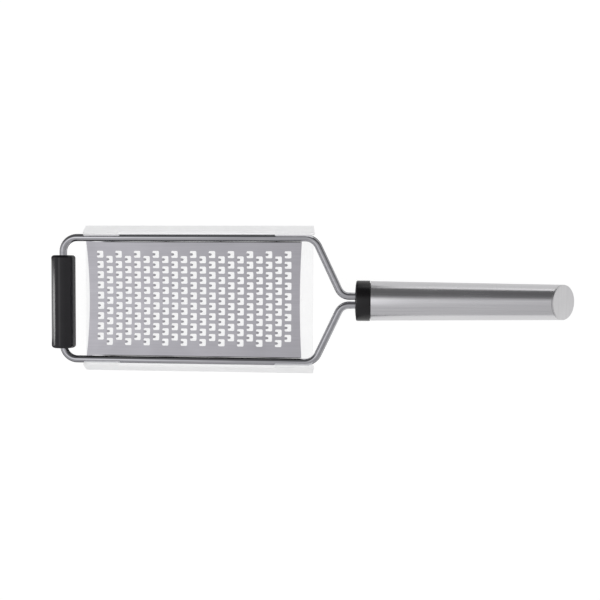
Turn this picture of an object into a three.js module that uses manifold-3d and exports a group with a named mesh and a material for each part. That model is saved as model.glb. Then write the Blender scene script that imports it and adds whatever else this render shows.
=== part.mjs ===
// Hand grater: a perforated plate in a bent wire frame, with a tube handle and a clear slide-on guard.
// Millimetres. +X runs from the foot to the handle's end, +Y across, +Z away from the guard.
// Everything is built from the front cross wire (X = 0) in the plane of the wires (Z = 0).
// The last lines then move it, so that the origin is the middle of the underside.
import * as THREE from 'three';
import { mergeVertices } from 'three/addons/utils/BufferGeometryUtils.js';
import loadManifold from 'manifold-3d';

// Wire frame
const wireDiameter = 4.0;
const wireSides = 16;
const runHalfSpacing = 33.7; // middle of the grater to the centre of each long run
const runLength = 139.65; // front cross wire to the rear corners
const neckLength = 15.0; // rear corners to the corners in front of the collar
const tailGap = 0.8; // between the two tails
const frontBendRadius = 7.85;
const rearBendRadius = 8.0;
const neckBendRadius = 6.5;

// Grating plate
const plateThickness = 0.5;
const plateEdgeGap = 0.3; // long edges to the wires, where the welds hold
const plateFrontGap = 6.7; // foot to the plate's front corners
const plateRearInset = 6.8; // plate's rear corners to the frame's rear corners
const plateSag = 2.1; // how far the middle lies below the long edges
const plateEndHollow = 1.1; // how far the two ends curve in at their middle
const columnPitch = 5.23;
const rowPitch = 5.7;
const leastEndMargin = 7.4; // plate's corners to the nearest column
const leastSideMargin = 3.5; // long edges to the nearest row's cells
const holeShift = 0.4; // middle of the rows, off the plate's middle
const holeLength = 3.63; // along X
const holeWidth = 3.85; // along Y
const tongueLength = 1.46;
const tongueWidth = 1.5;
const tongueDrop = 0.4; // tip below the sheet, on the cutting side

// Tack welds
const weldsPerSide = 4;
const weldInset = 14.0; // plate corners to the first and last weld
const weldRadius = 0.8;
const weldLength = 3.2; // between the centres of the round ends
const weldGap = 0.2;

// Foot
const footDiameter = 13.0;
const footEndGap = 0.15; // shorter than the cross wire's straight by this much at each end
const footShift = -1.8; // along the cross wire
const footEdgeRadius = 1.6;
const footBoreClearance = 0.25;

// Collar
const collarStandoff = 7.1; // neck corners to the middle of the collar's domed face
const collarDiameter = 21.8;
const collarDome = 0.65;
const collarLength = 8.1;
const collarEdgeRadius = 0.8;
const tailDepth = 34.0; // how far the wire tails reach in behind the collar's rear face
const tailBoreClearance = 0.25;
const spigotClearance = 0.3; // spigot to tube
const spigotEndWall = 4.0; // behind the tails

// Handle tube and its end cap
const tubeGap = 0.3; // joint between collar and tube
const tubeFrontDiameter = 21.3;
const tubeEndDiameter = 18.5;
const tubeLength = 109.2; // along the underside, to the tip
const tubeWall = 0.8;
const endCutAngle = 39.0; // degrees from a square cut
const capThickness = 1.5;
const capClearance = 0.3;
const capRecess = 0.15;

// Clear guard
const guardFrontOverhang = 1.3; // lips ahead of the plate's front corners
const guardRearOverhang = 7.25; // lips behind the plate's rear corners
const guardWall = 1.2;
const guardLean = 23.5; // degrees from upright, towards the wires
const guardClearance = 0.3; // wall to wire
const guardLipRise = 0.9; // lips above the top of the wires
const guardWaistHeight = 0.6; // top of the wall between the lips, above the wires' plane
const guardFootClearance = 0.6; // floor below the foot, so that the guard slides out under it
const guardEndRake = 1.6; // the floor lies this far forward of the lips
const guardFrontLip = 20.4;
const guardRearLip = 22.0;

// Places along the grater
const wireRadius = wireDiameter / 2;
const footRadius = footDiameter / 2;
const tailHalfSpacing = wireRadius + tailGap / 2;
const neckX = runLength + neckLength;
const collarFront = neckX + collarStandoff;
const collarRear = collarFront + collarLength;
const wireEnd = collarRear + tailDepth;
const tubeFront = collarRear + tubeGap;
const tubeTip = tubeFront + tubeLength;
const plateFront = footRadius + plateFrontGap;
const plateRear = runLength - plateRearInset;
const plateLength = plateRear - plateFront;
const plateWidth = 2 * (runHalfSpacing - wireRadius - plateEdgeGap);

const wasm = await loadManifold();
wasm.setup();

// Booleans: a geometry goes into a manifold, and comes back as a geometry.
function solid(geometry) {
  const plain = geometry.clone();
  plain.deleteAttribute('normal');
  plain.deleteAttribute('uv');
  const merged = mergeVertices(plain, 1e-4);
  const mesh = new wasm.Mesh({
    numProp: 3,
    vertProperties: new Float32Array(merged.attributes.position.array),
    triVerts: new Uint32Array(merged.index.array),
  });
  return new wasm.Manifold(mesh);
}

function geometryOf(manifold) {
  const mesh = manifold.getMesh();
  return meshGeometry(Array.from(mesh.vertProperties), Array.from(mesh.triVerts));
}

function meshGeometry(positions, triangles) {
  const geometry = new THREE.BufferGeometry();
  geometry.setAttribute('position', new THREE.Float32BufferAttribute(positions, 3));
  geometry.setIndex(triangles);
  geometry.computeVertexNormals();
  return geometry;
}

// A turned piece about the X axis, from [x, radius] pairs that start and end on the axis or close up.
function turned(profile, segments) {
  const points = profile.map(([x, radius]) => new THREE.Vector2(radius, x));
  const geometry = new THREE.LatheGeometry(points, segments);
  return geometry.rotateZ(-Math.PI / 2);
}

// A corner of a profile rounded from one angle to another, about a centre.
function arcPoints(x, y, radius, fromDegrees, toDegrees, steps) {
  const points = [];
  for (let k = 0; k <= steps; k += 1) {
    const angle = THREE.MathUtils.degToRad(fromDegrees + ((toDegrees - fromDegrees) * k) / steps);
    points.push([x + radius * Math.cos(angle), y + radius * Math.sin(angle)]);
  }
  return points;
}

// A flat path through corners [x, y, bend radius], with an arc at each bend.
function bentPath(corners) {
  const path = new THREE.Path();
  path.moveTo(corners[0][0], corners[0][1]);
  for (let k = 1; k < corners.length - 1; k += 1) {
    const corner = new THREE.Vector2(corners[k][0], corners[k][1]);
    const radius = corners[k][2];
    const toPrevious = new THREE.Vector2(corners[k - 1][0], corners[k - 1][1]).sub(corner).normalize();
    const toNext = new THREE.Vector2(corners[k + 1][0], corners[k + 1][1]).sub(corner).normalize();
    const halfAngle = Math.acos(toPrevious.dot(toNext)) / 2;
    const middle = toPrevious.clone().add(toNext).normalize();
    const centre = corner.clone().addScaledVector(middle, radius / Math.sin(halfAngle));
    const reach = radius / Math.tan(halfAngle);
    const start = corner.clone().addScaledVector(toPrevious, reach).sub(centre);
    const end = corner.clone().addScaledVector(toNext, reach).sub(centre);
    const clockwise = start.cross(end) < 0;
    path.absarc(centre.x, centre.y, radius, start.angle(), end.angle(), clockwise);
  }
  const last = corners[corners.length - 1];
  path.lineTo(last[0], last[1]);
  return path;
}

// A round rod along points of the wires' plane.
function rod(points, radius, sides) {
  const positions = [];
  const triangles = [];
  points.forEach((point, k) => {
    const before = points[Math.max(k - 1, 0)];
    const after = points[Math.min(k + 1, points.length - 1)];
    const along = after.clone().sub(before).normalize();
    for (let s = 0; s < sides; s += 1) {
      const angle = (2 * Math.PI * s) / sides;
      const across = radius * Math.cos(angle);
      positions.push(point.x - along.y * across, point.y + along.x * across, radius * Math.sin(angle));
    }
  });
  const last = points.length - 1;
  for (let k = 0; k < last; k += 1) {
    for (let s = 0; s < sides; s += 1) {
      const a = k * sides + s;
      const b = k * sides + ((s + 1) % sides);
      triangles.push(a, b, b + sides, a, b + sides, a + sides);
    }
  }
  for (let s = 1; s < sides - 1; s += 1) {
    triangles.push(0, s + 1, s, last * sides, last * sides + s, last * sides + s + 1);
  }
  return meshGeometry(positions, triangles);
}

function wireFrame() {
  const half = [
    [wireEnd, tailHalfSpacing, 0],
    [neckX, tailHalfSpacing, neckBendRadius],
    [runLength, runHalfSpacing, rearBendRadius],
    [0, runHalfSpacing, frontBendRadius],
  ];
  const otherHalf = half.map(([x, y, radius]) => [x, -y, radius]).reverse();
  const points = bentPath([...half, ...otherHalf]).getPoints(4);
  const distinct = points.filter((p, k) => k === 0 || p.distanceTo(points[k - 1]) > 1e-6);
  return rod(distinct, wireRadius, wireSides);
}

// The sheet's middle surface at x and at a distance across it, with its upward normal.
const bowRadius = (plateWidth ** 2 / 4 + plateSag ** 2) / (2 * plateSag);
const sheetHalfWidth = bowRadius * Math.asin(plateWidth / 2 / bowRadius);

function onSheet(across) {
  const angle = across / bowRadius;
  const normal = { y: -Math.sin(angle), z: Math.cos(angle) };
  return { y: bowRadius * Math.sin(angle), z: bowRadius * (1 - Math.cos(angle)) - plateSag, normal };
}

// A perforated sheet: one cell for each hole, plain strips along the edges, then thickened.
function gratingPlate() {
  const points = [];
  const triangles = [];
  const places = new Map();

  function vertex(x, across, drop = 0) {
    const key = `${x.toFixed(5)} ${across.toFixed(5)} ${drop}`;
    if (!places.has(key)) {
      places.set(key, points.length);
      points.push({ x, across, drop });
    }
    return places.get(key);
  }

  function fan(...corners) {
    for (let k = 1; k < corners.length - 1; k += 1) {
      triangles.push([corners[0], corners[k], corners[k + 1]]);
    }
  }

  const holeColumns = 1 + Math.floor((plateLength - 2 * leastEndMargin) / columnPitch);
  const rowsWidth = plateWidth - 2 * (leastSideMargin + Math.abs(holeShift));
  const holeRows = Math.floor(rowsWidth / rowPitch - 0.5);

  // Levels across the sheet, half a row apart, because odd columns lie half a row lower.
  const levelCount = 2 * holeRows + 2;
  const levels = [];
  for (let k = 0; k < levelCount; k += 1) {
    levels.push(holeShift + (k - (levelCount - 1) / 2) * (rowPitch / 2));
  }
  const edges = [-sheetHalfWidth, ...levels, sheetHalfWidth];
  const firstColumn = (plateFront + plateRear - (holeColumns - 1) * columnPitch) / 2;
  const columnEdge = (column) => firstColumn + (column - 0.5) * columnPitch;

  function strip(leftAt, rightAt, from, to) {
    for (let k = from; k < to; k += 1) {
      const low = edges[k];
      const high = edges[k + 1];
      fan(
        vertex(leftAt(low), low),
        vertex(rightAt(low), low),
        vertex(rightAt(high), high),
        vertex(leftAt(high), high),
      );
    }
  }

  function cell(column, level) {
    const left = columnEdge(column);
    const right = columnEdge(column + 1);
    const [low, middle, high] = [levels[level], levels[level + 1], levels[level + 2]];
    const holeLeft = firstColumn + column * columnPitch - holeLength / 2;
    const holeRight = holeLeft + holeLength;
    const a = vertex(left, low);
    const b = vertex(right, low);
    const c = vertex(right, middle);
    const d = vertex(right, high);
    const e = vertex(left, high);
    const f = vertex(left, middle);
    const lowLeft = vertex(holeLeft, middle - holeWidth / 2);
    const lowRight = vertex(holeRight, middle - holeWidth / 2);
    const highRight = vertex(holeRight, middle + holeWidth / 2);
    const highLeft = vertex(holeLeft, middle + holeWidth / 2);
    const rootHigh = vertex(holeLeft, middle + tongueWidth / 2);
    const rootLow = vertex(holeLeft, middle - tongueWidth / 2);
    const tipHigh = vertex(holeLeft + tongueLength, middle + tongueWidth / 2, tongueDrop);
    const tipLow = vertex(holeLeft + tongueLength, middle - tongueWidth / 2, tongueDrop);
    fan(a, b, lowRight, lowLeft);
    fan(c, highRight, lowRight, b);
    fan(c, d, highRight);
    fan(d, e, highLeft, highRight);
    fan(e, f, rootHigh, highLeft);
    fan(f, a, lowLeft, rootLow);
    fan(f, rootLow, rootHigh);
    fan(rootLow, tipLow, tipHigh, rootHigh);
  }

  const hollowAt = (across) => plateEndHollow * (1 - (across / sheetHalfWidth) ** 2);
  const frontEdge = (across) => plateFront + hollowAt(across);
  const rearEdge = (across) => plateRear - hollowAt(across);
  const lastStrip = edges.length - 1;
  strip(frontEdge, () => columnEdge(0), 0, lastStrip);
  strip(() => columnEdge(holeColumns), rearEdge, 0, lastStrip);
  for (let column = 0; column < holeColumns; column += 1) {
    const lowest = column % 2 === 0 ? 1 : 0;
    const left = () => columnEdge(column);
    const right = () => columnEdge(column + 1);
    strip(left, right, 0, 1 + lowest);
    strip(left, right, 1 + lowest + 2 * holeRows, lastStrip);
    for (let row = 0; row < holeRows; row += 1) {
      cell(column, lowest + 2 * row);
    }
  }
  return thickened(points, triangles);
}

// The sheet's two faces, and a wall along every edge that only one triangle has.
function thickened(points, triangles) {
  const positions = [];
  for (const side of [0.5, -0.5]) {
    for (const { x, across, drop } of points) {
      const { y, z, normal } = onSheet(across);
      const lift = side * plateThickness - drop;
      positions.push(x, y + normal.y * lift, z + normal.z * lift);
    }
  }
  const count = points.length;
  const faces = [];
  const edges = new Set();
  for (const [a, b, c] of triangles) {
    faces.push(a, b, c, a + count, c + count, b + count);
    edges.add(`${a} ${b}`).add(`${b} ${c}`).add(`${c} ${a}`);
  }
  for (const edge of edges) {
    const [a, b] = edge.split(' ').map(Number);
    if (!edges.has(`${b} ${a}`)) {
      faces.push(b, a, a + count, b, a + count, b + count);
    }
  }
  return meshGeometry(positions, faces);
}

// A tack weld lies in the groove under the plate's edge, against the wire.
function tackWeld(x, side) {
  const lying = new THREE.CapsuleGeometry(weldRadius, weldLength, 3, 10).rotateZ(Math.PI / 2);
  const below = plateThickness / 2 + weldRadius + weldGap;
  const reach = Math.sqrt((wireRadius + weldRadius + weldGap) ** 2 - below ** 2);
  return lying.translate(x, side * (runHalfSpacing - reach), -below);
}

function frontFoot() {
  const bore = wireRadius + footBoreClearance;
  const end = runHalfSpacing - frontBendRadius - footEndGap;
  const inner = footRadius - footEdgeRadius;
  const profile = [
    [-end, bore],
    ...arcPoints(-end + footEdgeRadius, inner, footEdgeRadius, 180, 90, 5),
    ...arcPoints(end - footEdgeRadius, inner, footEdgeRadius, 90, 0, 5),
    [end, bore],
    [-end, bore],
  ];
  return turned(profile, 40).rotateZ(Math.PI / 2).translate(0, footShift, 0);
}

function tubeRadius(x) {
  return THREE.MathUtils.lerp(tubeFrontDiameter, tubeEndDiameter, (x - tubeFront) / tubeLength) / 2;
}

function handleCollar() {
  const radius = collarDiameter / 2;
  const rim = collarFront + collarDome;
  const spigotEnd = wireEnd + spigotEndWall;
  const spigotRadius = (x) => tubeRadius(x) - tubeWall - spigotClearance;
  const profile = [[collarFront, 0]];
  for (let k = 1; k <= 4; k += 1) {
    const out = (k / 4) * (radius - collarEdgeRadius);
    profile.push([collarFront + collarDome * (out / radius) ** 2, out]);
  }
  profile.push(
    ...arcPoints(rim + collarEdgeRadius, radius - collarEdgeRadius, collarEdgeRadius, 150, 90, 3),
    [collarRear, radius],
    [collarRear, spigotRadius(tubeFront)],
    [spigotEnd, spigotRadius(spigotEnd)],
    [spigotEnd, 0],
  );
  let collar = solid(turned(profile, 48));
  const boreStart = collarFront - 1;
  const boreEnd = wireEnd + tailBoreClearance;
  for (const side of [1, -1]) {
    const bore = turned(
      [
        [boreStart, 0],
        [boreStart, wireRadius + tailBoreClearance],
        [boreEnd, wireRadius + tailBoreClearance],
        [boreEnd, 0],
      ],
      24,
    );
    collar = collar.subtract(solid(bore.translate(0, side * tailHalfSpacing, 0)));
  }
  return geometryOf(collar);
}

// Everything beyond the handle's slanted end, or beyond a plane that far inside it.
function beyondEndCut(inset) {
  const size = 4 * tubeLength;
  const block = new THREE.BoxGeometry(size, size, size).translate(size / 2 - inset, 0, 0);
  const tilted = block.rotateY(-THREE.MathUtils.degToRad(endCutAngle));
  return solid(tilted.translate(tubeTip, 0, -tubeEndDiameter / 2));
}

function handleTube() {
  const past = tubeTip + tubeEndDiameter / 2;
  const profile = [
    [tubeFront, tubeRadius(tubeFront)],
    [past, tubeRadius(past)],
    [past, tubeRadius(past) - tubeWall],
    [tubeFront, tubeRadius(tubeFront) - tubeWall],
    [tubeFront, tubeRadius(tubeFront)],
  ];
  return geometryOf(solid(turned(profile, 64)).subtract(beyondEndCut(0)));
}

function handleEndCap() {
  const start = tubeTip - tubeLength / 2;
  const past = tubeTip + tubeEndDiameter / 2;
  const inside = (x) => tubeRadius(x) - tubeWall - capClearance;
  const plug = turned([[start, 0], [start, inside(start)], [past, inside(past)], [past, 0]], 64);
  const cut = solid(plug).subtract(beyondEndCut(capRecess));
  return geometryOf(cut.intersect(beyondEndCut(capRecess + capThickness)));
}

// Leaning walls that clear the wires, a floor that clears the foot, and lips near the four corners.
const floorTop = -(footRadius + guardFootClearance);
const floorBottom = floorTop - guardWall;

function clearGuard() {
  const lean = THREE.MathUtils.degToRad(guardLean);
  const lipTop = wireRadius + guardLipRise;
  const lipFront = plateFront - guardFrontOverhang;
  const lipRear = plateRear + guardRearOverhang;
  function wallAt(z, offset) {
    const reach = wireRadius + guardClearance + offset;
    return runHalfSpacing + (reach - z * Math.sin(lean)) / Math.cos(lean);
  }
  const right = [
    [wallAt(floorBottom, guardWall), floorBottom],
    [wallAt(lipTop, guardWall), lipTop],
    [wallAt(lipTop, 0), lipTop],
    [wallAt(floorTop, 0), floorTop],
  ];
  const left = right.map(([y, z]) => [-y, z]).reverse();
  const section = new THREE.Shape([...right, ...left].map(([y, z]) => new THREE.Vector2(y, z)));
  const tray = new THREE.ExtrudeGeometry(section, { depth: lipRear - lipFront, bevelEnabled: false });
  const slope = guardEndRake / (lipTop - floorBottom);
  const lay = new THREE.Matrix4().makeBasis(
    new THREE.Vector3(0, 1, 0),
    new THREE.Vector3(slope, 0, 1),
    new THREE.Vector3(1, 0, 0),
  );
  tray.applyMatrix4(lay).translate(lipFront - slope * lipTop, 0, 0);
  const waistStart = lipFront + guardFrontLip;
  const waistEnd = lipRear - guardRearLip;
  const waist = new THREE.BoxGeometry(waistEnd - waistStart, 4 * runHalfSpacing, 2 * lipTop);
  waist.translate((waistStart + waistEnd) / 2, 0, guardWaistHeight + lipTop);
  return geometryOf(solid(tray).subtract(solid(waist)));
}

const finishes = {
  polishedSteel: { color: 0xc9c9cc, roughness: 0.12, metalness: 1.0 },
  sheetSteel: { color: 0xb9b8bd, roughness: 0.35, metalness: 1.0 },
  brushedSteel: { color: 0xbcbbbe, roughness: 0.4, metalness: 1.0 },
  weldSteel: { color: 0x8f8d8c, roughness: 0.5, metalness: 1.0 },
  blackRubber: { color: 0x1c1b1e, roughness: 0.6, metalness: 0.0 },
  blackPlastic: { color: 0x161517, roughness: 0.4, metalness: 0.0 },
  clearPlastic: { color: 0xf2f4f5, roughness: 0.08, metalness: 0.0, transparent: true, opacity: 0.3 },
};

const group = new THREE.Group();

function add(name, geometry, finish) {
  const mesh = new THREE.Mesh(geometry, new THREE.MeshStandardMaterial(finishes[finish]));
  mesh.name = name;
  group.add(mesh);
}

add('wire_frame', wireFrame(), 'polishedSteel');
add('grating_plate', gratingPlate(), 'sheetSteel');
add('front_foot', frontFoot(), 'blackRubber');
add('handle_collar', handleCollar(), 'blackPlastic');
add('handle_tube', handleTube(), 'brushedSteel');
add('handle_end_cap', handleEndCap(), 'brushedSteel');
add('clear_guard', clearGuard(), 'clearPlastic');
const weldStep = (plateLength - 2 * weldInset) / (weldsPerSide - 1);
for (const [sideName, side] of [['left', -1], ['right', 1]]) {
  for (let k = 0; k < weldsPerSide; k += 1) {
    const x = plateFront + weldInset + k * weldStep;
    add(`plate_weld_${sideName}_${k + 1}`, tackWeld(x, side), 'weldSteel');
  }
}

// The origin is the middle of the underside of the whole grater.
const box = new THREE.Box3().setFromObject(group);
const middle = box.getCenter(new THREE.Vector3());
for (const mesh of group.children) {
  mesh.position.set(-middle.x, -middle.y, -box.min.z);
}

export default group;
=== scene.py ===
"""Looks of the hand grater: sheet, wire, sleeve, collar, tube handle and clear guard, on a white table.

The pieces are modelled in millimetres from the front cross wire, in the plane of the wires, and are then
put in place in the part's own frame.
"""
import math

import bmesh
import bpy
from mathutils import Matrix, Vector


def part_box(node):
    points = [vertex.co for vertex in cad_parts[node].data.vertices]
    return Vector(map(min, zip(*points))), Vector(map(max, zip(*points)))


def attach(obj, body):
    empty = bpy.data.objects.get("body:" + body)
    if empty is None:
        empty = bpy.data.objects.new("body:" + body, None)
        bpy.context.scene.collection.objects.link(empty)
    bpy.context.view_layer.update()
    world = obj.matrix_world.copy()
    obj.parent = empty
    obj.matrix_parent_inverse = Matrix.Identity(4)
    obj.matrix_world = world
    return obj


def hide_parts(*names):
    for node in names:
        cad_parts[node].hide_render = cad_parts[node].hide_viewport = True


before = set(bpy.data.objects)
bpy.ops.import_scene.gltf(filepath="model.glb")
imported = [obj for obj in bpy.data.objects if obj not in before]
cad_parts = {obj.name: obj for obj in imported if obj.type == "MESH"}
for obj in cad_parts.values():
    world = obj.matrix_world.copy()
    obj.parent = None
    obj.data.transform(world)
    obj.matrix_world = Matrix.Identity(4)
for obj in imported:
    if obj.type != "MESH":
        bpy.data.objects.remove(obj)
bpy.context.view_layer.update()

# Millimetres
wire_radius = 2.0
run_half_spacing = 33.7
run_length = 139.65
neck_x = 154.65
tail_half_spacing = 2.4
wire_end = 203.85
front_bend = 7.85
rear_bend = 8.0
neck_bend = 6.5
wire_end_edge = 0.3

sheet_front = 13.2
sheet_rear = 132.85
sheet_width = 62.8
sheet_thickness = 0.5
sheet_sag = 2.1
sheet_end_hollow = 1.1
sheet_edge_reach = 0.24
sheet_edge_ease = 0.1
sheet_front_corner = (0.7, 6.5)
sheet_rear_corner = (0.25, 5.0)
column_pitch = 5.23
row_pitch = 5.7
column_count = 21
row_count = 9
hole_length = 3.63
hole_width = 3.85
hole_corner = 0.55
hole_shift = 0.4
tongue_width = 1.5
# Reach, drop and share of the width left at each bend of a tongue
tongue_bends = ((0.5, 0.05, 0.96), (0.55, 0.17, 0.86), (0.41, 0.18, 0.55))

foot_radius = 6.5
foot_length = 51.4
foot_shift = -1.8
foot_edge = 1.6
foot_mouth_radius = 3.0
foot_mouth_step = 0.75
foot_mouth_depth = 0.5

collar_front = 161.75
collar_rear = 169.85
collar_radius = 10.9
collar_dome = 0.65
collar_edge = 0.8
collar_rear_edge = 0.25
# Step inwards and lift of each ring of the domed front
collar_dome_rings = ((1.6, 0.26), (2.0, 0.2), (2.2, 0.13), (2.2, 0.06))
spigot_clearance = 0.3
spigot_past_wire = 4.0
spigot_taper = 0.95
bore_clearance = 0.25
bore_lead = 1.0

tube_front = 170.15
tube_tip = 279.35
tube_front_radius = 10.65
tube_end_radius = 9.25
tube_wall = 0.8
tube_front_edge = 0.2
tube_cut_edge = 0.12
end_cut_angle = 39.0
disc_thickness = 1.5
disc_clearance = 0.03
disc_rim = 0.5
disc_rim_gap = 0.05
disc_chamfer = 0.35
disc_blank_length = 50.0

guard_front = 10.3
guard_rear = 138.5
guard_wall = 1.2
guard_lean = 23.5
guard_floor = -8.3
guard_half_width = 41.1255
guard_lip_top = 2.9
guard_waist = 0.6
guard_rake = 1.6
guard_front_lip = 20.4
guard_rear_lip = 22.0
guard_lip_corner = 0.9
guard_fold = 1.6
guard_edge = 0.3

bead_radius = 0.8
bead_length = 4.8
bead_first = 27.2
bead_step = 30.55
bead_across = 30.973
bead_drop = -1.25
bead_count = 4
bead_ripple = 0.86

# Points closer than this are one point
tolerance = 1e-3

# The front cross wire's middle in the part's frame, in metres
wire_low, wire_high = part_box("wire_frame")
front_wire = Vector((wire_low.x + wire_radius / 1000, 0, (wire_low.z + wire_high.z) / 2))


def fresh_start():
    bpy.ops.object.select_all(action="DESELECT")


def choose(piece):
    fresh_start()
    piece.select_set(True)
    bpy.context.view_layer.objects.active = piece


def apply_place():
    bpy.ops.object.transform_apply(location=True, rotation=True, scale=True)


def open_shape(piece):
    choose(piece)
    bpy.ops.object.mode_set(mode="EDIT")


def close_shape():
    bpy.ops.object.mode_set(mode="OBJECT")


def middle(item):
    if isinstance(item, bmesh.types.BMVert):
        return item.co
    if isinstance(item, bmesh.types.BMEdge):
        return (item.verts[0].co + item.verts[1].co) / 2
    return item.calc_center_median()


def near(value, target):
    return abs(value - target) < tolerance


def pick(kind, wanted):
    bpy.ops.mesh.select_mode(type=kind)
    bpy.ops.mesh.select_all(action="DESELECT")
    mesh = bpy.context.object.data
    shape = bmesh.from_edit_mesh(mesh)
    items = {"VERT": shape.verts, "EDGE": shape.edges, "FACE": shape.faces}[kind]
    for item in items:
        if wanted(item):
            item.select_set(True)
    shape.select_flush_mode()
    bmesh.update_edit_mesh(mesh)


def extrude_edges(x, y, z):
    bpy.ops.mesh.extrude_edges_move(TRANSFORM_OT_translate={"value": (x, y, z)})


def apply_modifier(piece, kind, **settings):
    bpy.context.view_layer.objects.active = piece
    modifier = piece.modifiers.new(kind.title(), kind)
    for name, value in settings.items():
        setattr(modifier, name, value)
    bpy.ops.object.modifier_apply(modifier=modifier.name)


def soften(piece, width, segments, angle):
    limit = math.radians(angle)
    apply_modifier(piece, "BEVEL", width=width, segments=segments, limit_method="ANGLE", angle_limit=limit)


def merge_and_face_out(piece):
    open_shape(piece)
    bpy.ops.mesh.select_all(action="SELECT")
    bpy.ops.mesh.remove_doubles(threshold=tolerance)
    bpy.ops.mesh.normals_make_consistent(inside=False)
    close_shape()


def put_in_place(piece, name, material, body, nodes, smooth_angle=35):
    choose(piece)
    piece.location = front_wire
    piece.scale = (0.001, 0.001, 0.001)
    apply_place()
    bpy.ops.object.shade_smooth_by_angle(angle=math.radians(smooth_angle))
    piece.name = name
    piece.data.name = name
    piece.data.materials.clear()
    piece.data.materials.append(material)
    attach(piece, body)
    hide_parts(*nodes)


# Grating sheet

bow_radius = (sheet_width**2 / 4 + sheet_sag**2) / (2 * sheet_sag)
flat_half_width = bow_radius * math.asin(sheet_width / 2 / bow_radius)


def edge_reach(x):
    """How far the long edges reach out at x: up to the wires at the welds, a little less elsewhere."""
    between = abs(math.sin(math.pi * (x - bead_first) / bead_step))
    reach = sheet_edge_reach - sheet_edge_ease * between
    for corner, (depth, length) in ((sheet_front, sheet_front_corner), (sheet_rear, sheet_rear_corner)):
        reach -= depth * max(0, 1 - abs(x - corner) / length)
    return reach


def hole_cell():
    """One hole with its cutting tongue, in the middle of its own patch of sheet."""
    fresh_start()
    bpy.ops.mesh.primitive_plane_add(size=1, location=(0, 0, 0))
    cell = bpy.context.object
    cell.scale = (column_pitch, row_pitch, 1)
    apply_place()
    open_shape(cell)
    bpy.ops.mesh.select_all(action="SELECT")
    bpy.ops.mesh.inset(thickness=(column_pitch - hole_length) / 2)
    opened_width = row_pitch - (column_pitch - hole_length)
    bpy.ops.transform.resize(value=(1, hole_width / opened_width, 1), center_override=(0, 0, 0))
    bpy.ops.mesh.delete(type="ONLY_FACE")

    pick("EDGE", lambda e: near(abs(middle(e).x), column_pitch / 2))
    bpy.ops.mesh.subdivide(number_cuts=1)
    pick("EDGE", lambda e: near(middle(e).x, -hole_length / 2))
    bpy.ops.mesh.subdivide(number_cuts=2)
    root = (-hole_length / 2, 0, 0)
    pick("VERT", lambda v: near(v.co.x, root[0]) and abs(v.co.y) < hole_width / 4)
    bpy.ops.transform.resize(value=(1, tongue_width / (hole_width / 3), 1), center_override=root)
    pick("VERT", lambda v: near(abs(v.co.x), hole_length / 2) and near(abs(v.co.y), hole_width / 2))
    bpy.ops.mesh.bevel(affect="VERTICES", offset=hole_corner, segments=2)

    pick("EDGE", lambda e: near(middle(e).x, root[0]) and near(middle(e).y, 0))
    for reach, drop, narrowing in tongue_bends:
        extrude_edges(reach, 0, -drop)
        bpy.ops.transform.resize(value=(1, narrowing, 1), center_override=root)
    close_shape()
    return cell


def hole_column(cell, lean, x, count):
    """Every second column of holes, a quarter of a row off the middle, with plain sheet at both ends."""
    shift = hole_shift + lean * row_pitch / 4
    choose(cell)
    bpy.ops.object.duplicate()
    column = bpy.context.object
    apply_modifier(
        column,
        "ARRAY",
        count=row_count,
        use_relative_offset=False,
        use_constant_offset=True,
        constant_offset_displace=(0, row_pitch, 0),
        use_merge_vertices=True,
    )
    column.location = (x, shift - row_pitch * (row_count - 1) / 2, 0)
    apply_place()
    open_shape(column)
    for side in (1, -1):
        end = shift + side * row_pitch * row_count / 2
        pick("EDGE", lambda e: near(middle(e).y, end))
        if side * lean < 0:
            extrude_edges(0, side * row_pitch / 2, 0)
            end += side * row_pitch / 2
        extrude_edges(0, side * flat_half_width - end, 0)
    close_shape()
    apply_modifier(
        column,
        "ARRAY",
        count=count,
        use_relative_offset=False,
        use_constant_offset=True,
        constant_offset_displace=(2 * column_pitch, 0, 0),
    )
    return column


def grating_sheet():
    cell = hole_cell()
    first_column = (sheet_front + sheet_rear - (column_count - 1) * column_pitch) / 2
    sheet = hole_column(cell, 1, first_column, (column_count + 1) // 2)
    others = hole_column(cell, -1, first_column + column_pitch, column_count // 2)
    bpy.data.objects.remove(cell)
    choose(sheet)
    others.select_set(True)
    bpy.ops.object.join()

    holes_front = first_column - column_pitch / 2
    holes_rear = holes_front + column_count * column_pitch
    open_shape(sheet)
    bpy.ops.mesh.select_all(action="SELECT")
    bpy.ops.mesh.remove_doubles(threshold=tolerance)
    pick("EDGE", lambda e: near(middle(e).x, holes_front))
    extrude_edges(sheet_front - holes_front, 0, 0)
    pick("EDGE", lambda e: near(middle(e).x, holes_rear))
    extrude_edges(sheet_rear - holes_rear, 0, 0)
    bpy.ops.mesh.select_all(action="SELECT")
    bpy.ops.mesh.normals_make_consistent(inside=False)
    close_shape()

    for point in sheet.data.vertices:
        if near(abs(point.co.y), flat_half_width):
            point.co.y += math.copysign(edge_reach(point.co.x), point.co.y)
        hollow = sheet_end_hollow * (1 - (point.co.y / flat_half_width) ** 2)
        if near(point.co.x, sheet_front):
            point.co.x += hollow
        elif near(point.co.x, sheet_rear):
            point.co.x -= hollow
        turn = point.co.y / bow_radius
        height = point.co.z
        point.co.y = (bow_radius - height) * math.sin(turn)
        point.co.z = bow_radius - sheet_sag - (bow_radius - height) * math.cos(turn)
    apply_modifier(sheet, "SOLIDIFY", thickness=sheet_thickness, offset=0, use_even_offset=True)
    return sheet


# Bent wire

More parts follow.
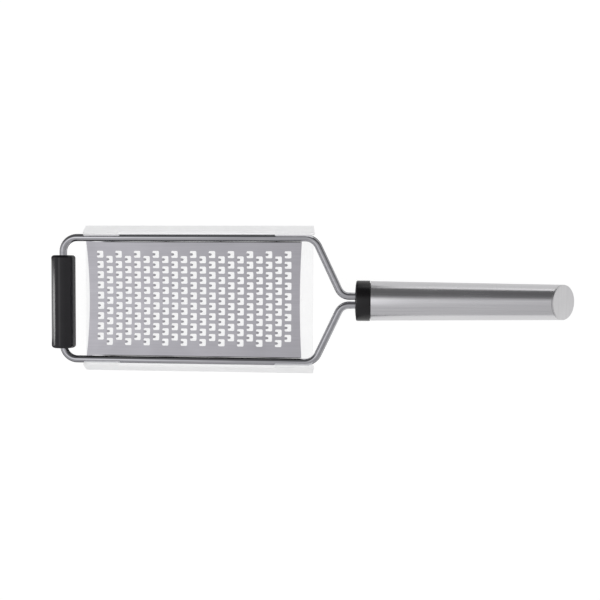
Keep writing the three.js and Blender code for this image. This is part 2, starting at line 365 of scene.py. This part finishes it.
def bent_wire():
    """Half of the wire is drawn out and bent from its tail to the middle of the front, then mirrored."""
    fresh_start()
    place = Vector((wire_end, tail_half_spacing, 0))
    bpy.ops.mesh.primitive_circle_add(
        vertices=40, radius=wire_radius, location=place, rotation=(0, math.pi / 2, 0)
    )
    wire = bpy.context.object
    apply_place()
    open_shape(wire)
    bpy.ops.mesh.select_all(action="SELECT")
    heading = math.pi

    def draw(length):
        nonlocal place
        step = length * Vector((math.cos(heading), math.sin(heading), 0))
        extrude_edges(*step)
        place = place + step

    def bend(radius, degrees, steps):
        nonlocal place, heading
        turn = math.radians(degrees)
        side = math.copysign(radius, turn)
        centre = place + side * Vector((-math.sin(heading), math.cos(heading), 0))
        bpy.ops.mesh.spin(steps=steps, angle=-turn, center=centre, axis=(0, 0, 1))
        heading += turn
        place = centre - side * Vector((-math.sin(heading), math.cos(heading), 0))

    slant = math.atan2(run_half_spacing - tail_half_spacing, neck_x - run_length)
    half_slant = math.tan(slant / 2)
    neck_length = math.hypot(run_half_spacing - tail_half_spacing, neck_x - run_length)
    draw(wire_end - neck_x - neck_bend * half_slant)
    bend(neck_bend, -math.degrees(slant), 16)
    draw(neck_length - (neck_bend + rear_bend) * half_slant)
    bend(rear_bend, math.degrees(slant), 16)
    draw(run_length - rear_bend * half_slant - front_bend)
    bend(front_bend, 90, 20)
    draw(run_half_spacing - front_bend)

    pick("EDGE", lambda e: near(middle(e).x, wire_end))
    bpy.ops.mesh.edge_face_add()
    close_shape()
    apply_modifier(
        wire, "MIRROR", use_axis=(False, True, False), use_mirror_merge=True, merge_threshold=tolerance
    )
    merge_and_face_out(wire)
    soften(wire, wire_end_edge, 3, 60)
    return wire


# Foot sleeve

def foot_sleeve():
    fresh_start()
    bpy.ops.mesh.primitive_cylinder_add(
        vertices=96,
        radius=foot_radius,
        depth=foot_length,
        location=(0, foot_shift, 0),
        rotation=(math.pi / 2, 0, 0),
    )
    sleeve = bpy.context.object
    apply_place()
    open_shape(sleeve)
    pick("FACE", lambda f: abs(f.normal.y) > 0.9)
    bpy.ops.mesh.region_to_loop()
    bpy.ops.mesh.bevel(offset=foot_edge, segments=7)
    pick("FACE", lambda f: abs(f.normal.y) > 0.999 and len(f.verts) > 8)
    bpy.ops.mesh.inset(thickness=foot_radius - foot_edge - foot_mouth_radius)
    bpy.ops.mesh.inset(thickness=foot_mouth_step, depth=-foot_mouth_depth)
    bpy.ops.mesh.delete(type="ONLY_FACE")
    pick("EDGE", lambda e: e.is_boundary)
    bpy.ops.mesh.bridge_edge_loops()
    close_shape()
    merge_and_face_out(sleeve)
    return sleeve


# Collar

def moulded_collar():
    fresh_start()
    rim = collar_front + collar_dome
    bpy.ops.mesh.primitive_cylinder_add(
        vertices=128,
        radius=collar_radius,
        depth=collar_rear - rim,
        location=((collar_rear + rim) / 2, 0, 0),
        rotation=(0, math.pi / 2, 0),
    )
    collar = bpy.context.object
    apply_place()
    open_shape(collar)
    pick("FACE", lambda f: f.normal.x < -0.9)
    bpy.ops.mesh.region_to_loop()
    bpy.ops.mesh.bevel(offset=collar_edge, segments=6)
    pick("FACE", lambda f: f.normal.x > 0.9)
    bpy.ops.mesh.region_to_loop()
    bpy.ops.mesh.bevel(offset=collar_rear_edge, segments=3)

    pick("FACE", lambda f: f.normal.x < -0.999 and len(f.verts) > 8)
    for step, lift in collar_dome_rings:
        bpy.ops.mesh.inset(thickness=step)
        bpy.ops.transform.translate(value=(-lift, 0, 0))

    spigot_radius = tube_front_radius - tube_wall - spigot_clearance
    spigot_end = wire_end + spigot_past_wire
    pick("FACE", lambda f: f.normal.x > 0.999 and len(f.verts) > 8)
    bpy.ops.mesh.inset(thickness=collar_radius - collar_rear_edge - spigot_radius)
    bpy.ops.mesh.extrude_region_move(TRANSFORM_OT_translate={"value": (spigot_end - collar_rear, 0, 0)})
    bpy.ops.transform.resize(value=(1, spigot_taper, spigot_taper), center_override=(spigot_end, 0, 0))
    close_shape()

    for side in (1, -1):
        fresh_start()
        bore_start = collar_front - bore_lead
        bore_end = wire_end + bore_clearance
        bpy.ops.mesh.primitive_cylinder_add(
            vertices=48,
            radius=wire_radius + bore_clearance,
            depth=bore_end - bore_start,
            location=((bore_start + bore_end) / 2, side * tail_half_spacing, 0),
            rotation=(0, math.pi / 2, 0),
        )
        bore = bpy.context.object
        apply_place()
        apply_modifier(collar, "BOOLEAN", operation="DIFFERENCE", object=bore, solver="EXACT")
        bpy.data.objects.remove(bore)
    return collar


# Handle tube and its end disc

def tube_radius(x):
    share = (x - tube_front) / (tube_tip - tube_front)
    return tube_front_radius + (tube_end_radius - tube_front_radius) * share


cut_normal = Vector((math.cos(math.radians(end_cut_angle)), 0, math.sin(math.radians(end_cut_angle))))
cut_point = Vector((tube_tip, 0, -tube_end_radius))
tube_cut_point = cut_point - (disc_rim + disc_rim_gap) * cut_normal
tube_past = tube_tip + tube_end_radius


def tapered_blank(start, inset, ends):
    fresh_start()
    bpy.ops.mesh.primitive_cone_add(
        vertices=160,
        radius1=tube_radius(start) - inset,
        radius2=tube_radius(tube_past) - inset,
        depth=tube_past - start,
        end_fill_type=ends,
        location=((start + tube_past) / 2, 0, 0),
        rotation=(0, math.pi / 2, 0),
    )
    blank = bpy.context.object
    apply_place()
    return blank


def on_outer_cut(edge):
    def at_rim(point):
        outside = math.hypot(point.y, point.z) > tube_radius(point.x) - 0.01
        return outside and near((point - tube_cut_point).dot(cut_normal), 0)

    return all(at_rim(corner.co) for corner in edge.verts)


def handle_tube():
    tube = tapered_blank(tube_front, 0, "NOTHING")
    open_shape(tube)
    bpy.ops.mesh.select_all(action="SELECT")
    bpy.ops.mesh.normals_make_consistent(inside=False)
    bpy.ops.mesh.bisect(plane_co=tube_cut_point, plane_no=cut_normal, clear_outer=True)
    close_shape()
    apply_modifier(tube, "SOLIDIFY", thickness=tube_wall, offset=-1, use_even_offset=True)
    open_shape(tube)
    pick("EDGE", lambda e: near(middle(e).x, tube_front))
    bpy.ops.mesh.bevel(offset=tube_front_edge, segments=3)
    pick("EDGE", on_outer_cut)
    bpy.ops.mesh.bevel(offset=tube_cut_edge, segments=2)
    close_shape()
    return tube


def slice_of_blank(inset, front, back):
    """A slanted slice of the tapered blank, between two planes set back from the handle's end."""
    piece = tapered_blank(tube_tip - disc_blank_length, inset, "NGON")
    open_shape(piece)
    for setback, side in ((front, {"clear_outer": True}), (back, {"clear_inner": True})):
        bpy.ops.mesh.select_all(action="SELECT")
        plane = cut_point - setback * cut_normal
        bpy.ops.mesh.bisect(plane_co=plane, plane_no=cut_normal, use_fill=True, **side)
    close_shape()
    return piece


def end_disc():
    """A plug inside the tube with a thin rim of the tube's own outline over the cut."""
    disc = slice_of_blank(0, 0, disc_rim)
    open_shape(disc)
    pick("FACE", lambda f: f.normal.dot(cut_normal) > 0.99)
    bpy.ops.mesh.region_to_loop()
    bpy.ops.mesh.bevel(offset=disc_chamfer, segments=2)
    close_shape()
    plug = slice_of_blank(tube_wall + disc_clearance, disc_rim / 2, disc_thickness)
    apply_modifier(disc, "BOOLEAN", operation="UNION", object=plug, solver="EXACT")
    bpy.data.objects.remove(plug)
    return disc


# Clear guard

def clear_tray():
    fresh_start()
    middle_x = (guard_front + guard_rear) / 2
    bpy.ops.mesh.primitive_plane_add(size=1, location=(middle_x, 0, guard_floor))
    tray = bpy.context.object
    tray.scale = (guard_rear - guard_front, 2 * guard_half_width, 1)
    apply_place()
    lean = math.tan(math.radians(guard_lean))
    rake = guard_rake / (guard_lip_top - guard_floor)
    rise = guard_waist - guard_floor
    lip = guard_lip_top - guard_waist
    waist_front = guard_front + rake * rise
    waist_rear = guard_rear + rake * rise
    open_shape(tray)
    for side in (1, -1):
        pick("EDGE", lambda e: near(middle(e).y, side * guard_half_width))
        extrude_edges(rake * rise, -side * lean * rise, rise)
        bpy.ops.mesh.subdivide(number_cuts=2)
        waist_y = side * (guard_half_width - lean * rise)
        cuts = (waist_front + guard_front_lip - rake * lip, waist_rear - guard_rear_lip + rake * lip)
        third = (waist_rear - waist_front) / 3
        for number, cut in enumerate(cuts):
            start = waist_front + third * (number + 1)
            pick("VERT", lambda v: near(v.co.x, start) and near(v.co.y, waist_y))
            bpy.ops.transform.translate(value=(cut - start, 0, 0))
        pick("EDGE", lambda e: near(middle(e).y, waist_y) and not cuts[0] < middle(e).x < cuts[1])
        extrude_edges(rake * lip, -side * lean * lip, lip)
    pick("VERT", lambda v: near(v.co.z, guard_lip_top))
    bpy.ops.mesh.bevel(affect="VERTICES", offset=guard_lip_corner, segments=4)
    pick("EDGE", lambda e: near(middle(e).z, guard_floor) and near(abs(middle(e).y), guard_half_width))
    bpy.ops.mesh.bevel(offset=guard_fold, segments=5)
    bpy.ops.mesh.select_all(action="SELECT")
    bpy.ops.mesh.normals_make_consistent(inside=False)
    close_shape()
    floor_face = min(tray.data.polygons, key=lambda f: f.center.z)
    if floor_face.normal.z > 0:
        open_shape(tray)
        bpy.ops.mesh.select_all(action="SELECT")
        bpy.ops.mesh.flip_normals()
        close_shape()
    apply_modifier(tray, "SOLIDIFY", thickness=guard_wall, offset=-1, use_even_offset=True)
    soften(tray, guard_edge, 3, 50)
    return tray


# Weld bead

def weld_bead():
    fresh_start()
    bpy.ops.mesh.primitive_uv_sphere_add(
        segments=20, ring_count=14, radius=bead_radius, location=(0, 0, 0), rotation=(0, math.pi / 2, 0)
    )
    bead = bpy.context.object
    bead.scale = (1, 1, bead_length / (2 * bead_radius))
    apply_place()
    open_shape(bead)
    rings = sorted({round(v.co.x, 3) for v in bmesh.from_edit_mesh(bead.data).verts})
    for ring in rings[2:-2:2]:
        pick("VERT", lambda v: near(v.co.x, ring))
        bpy.ops.transform.resize(value=(1, bead_ripple, bead_ripple), center_override=(ring, 0, 0))
    close_shape()
    return bead


def bead_copy(bead, x, side):
    copy = bead.copy()
    copy.data = bead.data.copy()
    bpy.context.scene.collection.objects.link(copy)
    choose(copy)
    copy.location = (x, side * bead_across, bead_drop)
    apply_place()
    return copy


# Finishes

noise_low = 0.3
noise_high = 0.7
pit_reach = 0.35
steel_pit_size = 900.0
line_share = 0.7
cloud_share = (0.05, 0.25)
line_roughness = 0.03
line_height = 0.00004
# Painted shade: a near-black colour laid in the seams between sheet and wires, where the gap lies in shade
painted_seam_shade_colour = (0.03, 0.03, 0.033, 1)
seam_shade_front_fade = 0.003
seam_shade_rear_fade = 0.001
moulding_smear_size = 160.0
speckle_height = 0.00003
guard_dark = (0.925, 0.925, 0.928)
guard_light = (0.945, 0.945, 0.948)
guard_roughness = (0.28, 0.31)
guard_bending = 1.15
guard_shadow = (0.94, 0.945, 0.95, 1)


def add_node(tree, kind, place, **values):
    node = tree.nodes.new(kind)
    node.location = place
    for name, value in values.items():
        node.inputs[name.replace("_", " ")].default_value = value
    return node


def new_group(name, inputs, outputs):
    group = bpy.data.node_groups.new(name, "ShaderNodeTree")
    for socket, kind in inputs:
        group.interface.new_socket(name=socket, in_out="INPUT", socket_type=kind)
    for socket, kind in outputs:
        group.interface.new_socket(name=socket, in_out="OUTPUT", socket_type=kind)
    start = group.nodes.new("NodeGroupInput")
    start.location = (-700, 0)
    end = group.nodes.new("NodeGroupOutput")
    end.location = (500, 0)
    return group, start, end


def drawn_lines_group():
    """Fine lines along the first axis of the given place, and the broad unevenness under them."""
    group, start, end = new_group(
        "drawn_lines",
        [("Place", "NodeSocketVector")],
        [("Line", "NodeSocketFloat"), ("Cloud", "NodeSocketFloat")],
    )
    fine = add_node(group, "ShaderNodeTexNoise", (-300, 150), Scale=1.0, Detail=5.0, Roughness=0.65)
    cloud = add_node(group, "ShaderNodeTexNoise", (-300, -150), Scale=0.6, Detail=2.0)
    group.links.new(start.outputs["Place"], fine.inputs["Vector"])
    group.links.new(start.outputs["Place"], cloud.inputs["Vector"])
    group.links.new(fine.outputs["Fac"], end.inputs["Line"])
    group.links.new(cloud.outputs["Fac"], end.inputs["Cloud"])
    return group


def handling_group():
    """Faint wiped smears and small pits of a used surface."""
    group, start, end = new_group(
        "handling_marks",
        [("Place", "NodeSocketVector"), ("Smear Size", "NodeSocketFloat"), ("Pit Size", "NodeSocketFloat")],
        [("Smear", "NodeSocketFloat"), ("Pit", "NodeSocketFloat")],
    )
    smear = add_node(group, "ShaderNodeTexNoise", (-300, 150), Detail=3.0, Distortion=0.8)
    pits = add_node(group, "ShaderNodeTexVoronoi", (-300, -150))
    near_pit = add_node(group, "ShaderNodeMapRange", (0, -150))
    near_pit.inputs["From Min"].default_value = 0.0
    near_pit.inputs["From Max"].default_value = pit_reach
    group.links.new(start.outputs["Place"], smear.inputs["Vector"])
    group.links.new(start.outputs["Smear Size"], smear.inputs["Scale"])
    group.links.new(start.outputs["Place"], pits.inputs["Vector"])
    group.links.new(start.outputs["Pit Size"], pits.inputs["Scale"])
    group.links.new(pits.outputs["Distance"], near_pit.inputs["Value"])
    group.links.new(smear.outputs["Fac"], end.inputs["Smear"])
    group.links.new(near_pit.outputs["Result"], end.inputs["Pit"])
    return group


drawn_lines = drawn_lines_group()
handling_marks = handling_group()


def place_group(tree, group, place, **values):
    node = add_node(tree, "ShaderNodeGroup", place)
    node.node_tree = group
    for name, value in values.items():
        node.inputs[name.replace("_", " ")].default_value = value
    return node


def spread(tree, source, low, high, place, start=noise_low, end=noise_high):
    """A value that runs from low to high as the source runs from start to end."""
    node = add_node(tree, "ShaderNodeMapRange", place)
    node.inputs["From Min"].default_value = start
    node.inputs["From Max"].default_value = end
    node.inputs["To Min"].default_value = low
    node.inputs["To Max"].default_value = high
    tree.links.new(source, node.inputs["Value"])
    return node.outputs["Result"]


def tint(tree, source, dark, light, place):
    node = add_node(tree, "ShaderNodeValToRGB", place)
    node.color_ramp.elements[0].position = noise_low
    node.color_ramp.elements[0].color = (*dark, 1)
    node.color_ramp.elements[1].position = noise_high
    node.color_ramp.elements[1].color = (*light, 1)
    tree.links.new(source, node.inputs["Fac"])
    return node.outputs["Color"]


def blank_finish(name):
    material = bpy.data.materials.new(name)
    material.use_nodes = True
    tree = material.node_tree
    shader = tree.nodes["Principled BSDF"]
    where = add_node(tree, "ShaderNodeTexCoord", (-1300, 0))
    return material, tree, shader, where.outputs["Object"]


def joined(tree, operation, first, second, place):
    """Two values joined by one operation; the second may be a plain number."""
    node = add_node(tree, "ShaderNodeMath", place)
    node.operation = operation
    tree.links.new(first, node.inputs[0])
    if isinstance(second, float):
        node.inputs[1].default_value = second
    else:
        tree.links.new(second, node.inputs[1])
    return node.outputs[0]


def painted_seam_shade_mask(tree, where, clear, shaded, start):
    """Painted shade: one in the seams between sheet and wires, from a start behind the sheet's front edge.

    The distance from the middle runs from clear to shaded there.
    """
    axes = add_node(tree, "ShaderNodeSeparateXYZ", (-1100, 600))
    tree.links.new(where, axes.inputs["Vector"])
    across = add_node(tree, "ShaderNodeMath", (-900, 650))
    across.operation = "ABSOLUTE"
    tree.links.new(axes.outputs["Y"], across.inputs[0])
    mask = spread(tree, across.outputs[0], 0.0, 1.0, (-700, 650), clear / 1000, shaded / 1000)
    front = front_wire.x + (sheet_front + start) / 1000
    rear = front_wire.x + sheet_rear / 1000
    front_end = front + seam_shade_front_fade
    rear_start = rear - seam_shade_rear_fade
    behind_front = spread(tree, axes.outputs["X"], 0.0, 1.0, (-700, 900), front, front_end)
    before_rear = spread(tree, axes.outputs["X"], 1.0, 0.0, (-700, 1150), rear_start, rear)
    mask = joined(tree, "MULTIPLY", mask, behind_front, (-450, 700))
    return joined(tree, "MULTIPLY", mask, before_rear, (-300, 700))


def steel(name, dark, light, rough, stretch, line_depth, smear_size, seam_shade=None):
    """Steel with drawn or brushed lines along the stretched axes, faint smears, tiny pits and, where given,
    painted shade along the seam with the wires.
    """
    material, tree, shader, where = blank_finish(name)
    stretched = add_node(tree, "ShaderNodeMapping", (-1100, 150), Scale=stretch)
    tree.links.new(where, stretched.inputs["Vector"])
    lines = place_group(tree, drawn_lines, (-850, 150))
    tree.links.new(stretched.outputs["Vector"], lines.inputs["Place"])
    marks = place_group(
        tree, handling_marks, (-850, -150), Smear_Size=smear_size, Pit_Size=steel_pit_size
    )
    tree.links.new(where, marks.inputs["Place"])
    tone = add_node(tree, "ShaderNodeMath", (-650, 250))
    tone.operation = "MULTIPLY_ADD"
    tree.links.new(lines.outputs["Line"], tone.inputs[0])
    tone.inputs[1].default_value = line_share
    share = spread(tree, lines.outputs["Cloud"], *cloud_share, (-650, 50))
    tree.links.new(share, tone.inputs[2])
    colour = tint(tree, tone.outputs[0], dark, light, (-400, 300))
    # Painted shade: the colour turns near-black along the seam between sheet and wires, where the gap lies
    # in shade
    if seam_shade:
        painted_shade = add_node(tree, "ShaderNodeMix", (-150, 500))
        painted_shade.data_type = "RGBA"
        tree.links.new(painted_seam_shade_mask(tree, where, *seam_shade), painted_shade.inputs[0])
        tree.links.new(colour, painted_shade.inputs[6])
        painted_shade.inputs[7].default_value = painted_seam_shade_colour
        colour = painted_shade.outputs[2]
    tree.links.new(colour, shader.inputs["Base Color"])
    smeared = spread(tree, marks.outputs["Smear"], *rough, (-650, -150))
    lined = spread(tree, lines.outputs["Line"], -line_roughness, line_roughness, (-650, -350))
    roughness = joined(tree, "ADD", smeared, lined, (-400, 0))
    tree.links.new(roughness, shader.inputs["Roughness"])
    relief = add_node(tree, "ShaderNodeBump", (-250, -300), Strength=line_depth, Distance=line_height)
    height = joined(tree, "MULTIPLY", lines.outputs["Line"], marks.outputs["Pit"], (-450, -400))
    tree.links.new(height, relief.inputs["Height"])
    tree.links.new(relief.outputs["Normal"], shader.inputs["Normal"])
    shader.inputs["Metallic"].default_value = 1.0
    return material


def black_moulding(name, dark, light, rough, gloss, speckle, relief_strength):
    """Black rubber or plastic with a faint mottled tone and a fine moulded speckle."""
    material, tree, shader, where = blank_finish(name)
    shader.inputs["Specular IOR Level"].default_value = gloss
    marks = place_group(
        tree, handling_marks, (-850, 0), Smear_Size=moulding_smear_size, Pit_Size=speckle
    )
    tree.links.new(where, marks.inputs["Place"])
    colour = tint(tree, marks.outputs["Smear"], dark, light, (-400, 250))
    tree.links.new(colour, shader.inputs["Base Color"])
    roughness = spread(tree, marks.outputs["Smear"], *rough, (-600, 0))
    tree.links.new(roughness, shader.inputs["Roughness"])
    relief = add_node(
        tree, "ShaderNodeBump", (-300, -250), Strength=relief_strength, Distance=speckle_height
    )
    tree.links.new(marks.outputs["Pit"], relief.inputs["Height"])
    tree.links.new(relief.outputs["Normal"], shader.inputs["Normal"])
    return material


def clear_moulding():
    """Clear plastic that lets the light through to the table."""
    material, tree, shader, where = blank_finish("clear_moulding")
    marks = place_group(tree, handling_marks, (-850, 0), Smear_Size=60.0, Pit_Size=500.0)
    tree.links.new(where, marks.inputs["Place"])
    colour = tint(tree, marks.outputs["Smear"], guard_dark, guard_light, (-400, 250))
    tree.links.new(colour, shader.inputs["Base Color"])
    roughness = spread(tree, marks.outputs["Smear"], *guard_roughness, (-600, 0))
    tree.links.new(roughness, shader.inputs["Roughness"])
    shader.inputs["IOR"].default_value = guard_bending
    shader.inputs["Transmission Weight"].default_value = 1.0
    rays = add_node(tree, "ShaderNodeLightPath", (0, 400))
    open_to_light = add_node(tree, "ShaderNodeBsdfTransparent", (0, -200), Color=guard_shadow)
    mix = add_node(tree, "ShaderNodeMixShader", (400, 100))
    tree.links.new(rays.outputs["Is Shadow Ray"], mix.inputs["Fac"])
    tree.links.new(shader.outputs["BSDF"], mix.inputs[1])
    tree.links.new(open_to_light.outputs["BSDF"], mix.inputs[2])
    tree.links.new(mix.outputs["Shader"], tree.nodes["Material Output"].inputs["Surface"])
    return material


wire_finish = steel(
    "polished_wire",
    dark=(0.47, 0.47, 0.495),
    light=(0.57, 0.57, 0.59),
    rough=(0.03, 0.06),
    stretch=(60, 900, 900),
    line_depth=0.03,
    smear_size=90.0,
    # Painted shade on the wire's inner side, a dark reflection of the shaded gap to the sheet
    seam_shade=(32.35, 32.15, -2),
)
sheet_finish = steel(
    "satin_sheet",
    dark=(0.54, 0.532, 0.565),
    light=(0.61, 0.602, 0.635),
    rough=(0.3, 0.38),
    stretch=(40, 1500, 1500),
    line_depth=0.15,
    smear_size=60.0,
    # Painted shade along the sheet's long edges, where they meet the wires
    seam_shade=(31.05, 31.3, 8),
)
tube_finish = steel(
    "brushed_tube",
    dark=(0.73, 0.725, 0.74),
    light=(0.82, 0.815, 0.83),
    rough=(0.2, 0.26),
    stretch=(12, 1600, 1600),
    line_depth=0.2,
    smear_size=50.0,
)
disc_finish = steel(
    "brushed_disc",
    dark=(0.7, 0.695, 0.705),
    light=(0.79, 0.785, 0.795),
    rough=(0.3, 0.38),
    stretch=(900, 60, 900),
    line_depth=0.2,
    smear_size=90.0,
)
bead_finish = steel(
    "weld_bead",
    dark=(0.34, 0.32, 0.31),
    light=(0.55, 0.53, 0.5),
    rough=(0.4, 0.6),
    stretch=(500, 500, 500),
    line_depth=0.5,
    smear_size=400.0,
)
sleeve_finish = black_moulding(
    "sleeve_rubber",
    dark=(0.006, 0.0055, 0.0085),
    light=(0.012, 0.0105, 0.014),
    rough=(0.14, 0.2),
    gloss=0.55,
    speckle=2200.0,
    relief_strength=0.15,
)
collar_finish = black_moulding(
    "collar_plastic",
    dark=(0.004, 0.0035, 0.0045),
    light=(0.008, 0.007, 0.0085),
    rough=(0.25, 0.31),
    gloss=0.5,
    speckle=2600.0,
    relief_strength=0.1,
)
guard_finish = clear_moulding()

sheet = grating_sheet()
put_in_place(sheet, "satin_grating_sheet", sheet_finish, "grater", ["grating_plate"], 30)
put_in_place(bent_wire(), "bent_wire", wire_finish, "grater", ["wire_frame"])
put_in_place(foot_sleeve(), "foot_sleeve", sleeve_finish, "grater", ["front_foot"])
collar = moulded_collar()
put_in_place(collar, "moulded_collar", collar_finish, "grater", ["handle_collar"])
put_in_place(handle_tube(), "tapered_tube", tube_finish, "grater", ["handle_tube"], 20)
put_in_place(end_disc(), "slanted_end_disc", disc_finish, "grater", ["handle_end_cap"], 10)
put_in_place(clear_tray(), "clear_tray", guard_finish, "guard", ["clear_guard"])

first_bead = weld_bead()
for side_name, side in (("left", -1), ("right", 1)):
    for number in range(bead_count):
        bead = bead_copy(first_bead, bead_first + number * bead_step, side)
        node = f"plate_weld_{side_name}_{number + 1}"
        name = f"weld_bead_{side_name}_{number + 1}"
        put_in_place(bead, name, bead_finish, "grater", [node], 60)
bpy.data.objects.remove(first_bead)


# Table, light and camera

table_tone = (0.16, 0.16, 0.16, 1)
# Shares of white that the table glows with to the eye, through the guard, and in the metal, where it is a
# painted reflection
table_seen = 0.95
table_through_guard = 0.92
table_dim = 0.1
table_by_handle = 0.74
table_far_share = 0.82
# Where those shares change over, in metres
before_foot_x = (-0.143, -0.139)
inside_foot_end = (0.002, 0.001)
collar_x = (0.019, 0.0245)
far_side_y = (-0.01, 0.03)


def white_table():
    """A white table that glows; metal mirrors it as a painted reflection, bright only before the foot and
    beside the handle and dim elsewhere.
    """
    fresh_start()
    bpy.ops.mesh.primitive_plane_add(size=8, location=(0, 0, -0.0002))
    table = bpy.context.object
    table.name = "white_table"
    material = bpy.data.materials.new("white_table")
    material.use_nodes = True
    tree = material.node_tree
    shader = tree.nodes["Principled BSDF"]
    shader.inputs["Base Color"].default_value = table_tone
    shader.inputs["Roughness"].default_value = 0.9
    shader.inputs["Specular IOR Level"].default_value = 0.0
    where = add_node(tree, "ShaderNodeTexCoord", (-1500, -300))
    axes = add_node(tree, "ShaderNodeSeparateXYZ", (-1300, -300))
    tree.links.new(where.outputs["Object"], axes.inputs["Vector"])
    from_foot = add_node(tree, "ShaderNodeMath", (-1300, 0))
    from_foot.operation = "ABSOLUTE"
    along_foot = joined(tree, "SUBTRACT", axes.outputs["Y"], foot_shift / 1000, (-1500, 0))
    tree.links.new(along_foot, from_foot.inputs[0])
    foot_half = foot_length / 2000
    ends = [foot_half - inside for inside in inside_foot_end]
    foot_wide = spread(tree, from_foot.outputs[0], 1.0, table_dim, (-1100, 0), *ends)
    in_front = spread(tree, axes.outputs["X"], 1.0, table_dim, (-1100, -200), *before_foot_x)
    before_foot = joined(tree, "MULTIPLY", in_front, foot_wide, (-950, -100))
    along = spread(tree, axes.outputs["X"], table_dim, table_by_handle, (-1100, -450), *collar_x)
    far_side = spread(tree, axes.outputs["Y"], 1.0, table_far_share, (-1100, -700), *far_side_y)
    beside = joined(tree, "MULTIPLY", along, far_side, (-950, -550))
    # Painted reflection: the glow that only metal sees, bright or dim by place on the table
    in_metal = joined(tree, "MAXIMUM", before_foot, beside, (-900, -300))
    rays = add_node(tree, "ShaderNodeLightPath", (-1100, 200))
    seen = joined(tree, "MULTIPLY", rays.outputs["Is Camera Ray"], table_seen, (-700, 200))
    through_guard = rays.outputs["Is Transmission Ray"]
    only_glossy = joined(tree, "SUBTRACT", rays.outputs["Is Glossy Ray"], through_guard, (-900, 0))
    reflected = joined(tree, "MULTIPLY", only_glossy, in_metal, (-700, 0))
    through = joined(tree, "MULTIPLY", through_guard, table_through_guard, (-700, -200))
    level = joined(tree, "MAXIMUM", seen, reflected, (-450, 100))
    level = joined(tree, "MAXIMUM", level, through, (-250, 0))
    shader.inputs["Emission Color"].default_value = (1, 1, 1, 1)
    tree.links.new(level, shader.inputs["Emission Strength"])
    table.data.materials.append(material)


# Levels of the sky, and the directions between which they change over
sky_tint = (0.985, 0.98, 1, 1)
sky_over = 0.63
sky_far = 0.132
sky_near_share = 0.88
sky_middle_share = 1.02
sky_handle_share = 0.8
sky_front_gain = 1.95
far_turn = (0.14, 0.58)
near_turn = (-0.35, 0.12)
handle_turn = (0.0, 0.6)
front_turn = (-0.5, -0.15)
high_turn = (0.84, 0.93)


def studio_sky():
    """A soft sky, bright overhead, dim beyond the far side and brighter above the front of the sheet."""
    world = bpy.data.worlds.new("studio_sky")
    world.use_nodes = True
    bpy.context.scene.world = world
    tree = world.node_tree
    sky = tree.nodes["Background"]
    where = add_node(tree, "ShaderNodeTexCoord", (-1200, 0))
    axes = add_node(tree, "ShaderNodeSeparateXYZ", (-1000, 0))
    tree.links.new(where.outputs["Generated"], axes.inputs["Vector"])
    across = spread(tree, axes.outputs["Y"], sky_over, sky_far, (-800, 100), *far_turn)
    across.node.interpolation_type = "SMOOTHSTEP"
    shares = (sky_near_share, sky_middle_share)
    near_side = spread(tree, axes.outputs["Y"], *shares, (-800, -200), *near_turn)
    to_handle = spread(tree, axes.outputs["X"], 1.0, sky_handle_share, (-800, -500), *handle_turn)
    to_front = spread(tree, axes.outputs["X"], sky_front_gain, 0.0, (-800, -800), *front_turn)
    high = spread(tree, axes.outputs["Z"], 0.0, 1.0, (-800, -1100), *high_turn)
    gain = joined(tree, "MULTIPLY", to_front, high, (-600, -900))
    above_front = joined(tree, "ADD", gain, 1.0, (-450, -900))
    lengthways = joined(tree, "MULTIPLY", above_front, to_handle, (-300, -700))
    crossways = joined(tree, "MULTIPLY", across, near_side, (-600, 0))
    level = joined(tree, "MULTIPLY", crossways, lengthways, (-150, -100))
    sky.inputs["Color"].default_value = sky_tint
    tree.links.new(level, sky.inputs["Strength"])
    backdrop = add_node(tree, "ShaderNodeBackground", (0, -200), Color=(1, 1, 1, 1), Strength=1.0)
    rays = add_node(tree, "ShaderNodeLightPath", (0, 300))
    seen = rays.outputs["Is Camera Ray"]
    seen_or_through = joined(tree, "MAXIMUM", seen, rays.outputs["Is Transmission Ray"], (150, 300))
    mix = add_node(tree, "ShaderNodeMixShader", (300, 0))
    tree.links.new(seen_or_through, mix.inputs["Fac"])
    tree.links.new(sky.outputs["Background"], mix.inputs[1])
    tree.links.new(backdrop.outputs["Background"], mix.inputs[2])
    tree.links.new(mix.outputs["Shader"], tree.nodes["World Output"].inputs["Surface"])


upright_facing_handle = (0, -math.pi / 2, 0)
lying_facing_up = (math.pi, 0, 0)
upright_facing_near = (-math.pi / 2, 0, 0)


def card_light(name, place, turn, width, height, energy):
    """A lit card that stands or lies outside the picture."""
    fresh_start()
    bpy.ops.object.light_add(type="AREA", location=place, rotation=turn)
    card = bpy.context.object
    card.name = name
    card.data.shape = "RECTANGLE"
    card.data.size = width
    card.data.size_y = height
    card.data.energy = energy


camera_place = (0.03668, 0.0184, 0.46966)
camera_turn = (-2.281, 5.116, 0.483)


def viewpoint():
    fresh_start()
    bpy.ops.object.camera_add(location=camera_place)
    camera = bpy.context.object
    camera.rotation_mode = "ZYX"
    camera.rotation_euler = [math.radians(degrees) for degrees in camera_turn]
    camera.data.sensor_fit = "HORIZONTAL"
    camera.data.sensor_width = 36.0
    camera.data.lens = 51.0
    camera.data.clip_start = 0.01
    bpy.context.scene.camera = camera


white_table()
studio_sky()
card_light("front_card", (-0.75, -0.046, 0.12), upright_facing_handle, width=0.24, height=0.152, energy=0.62)
card_light("low_card", (-0.56, -0.04, 0.001), lying_facing_up, width=0.44, height=0.13, energy=0.9)
card_light("far_card", (0.1275, 0.25, 0.024), upright_facing_near, width=0.265, height=0.048, energy=0.028)
viewpoint()
bpy.context.scene.view_settings.view_transform = "Standard"
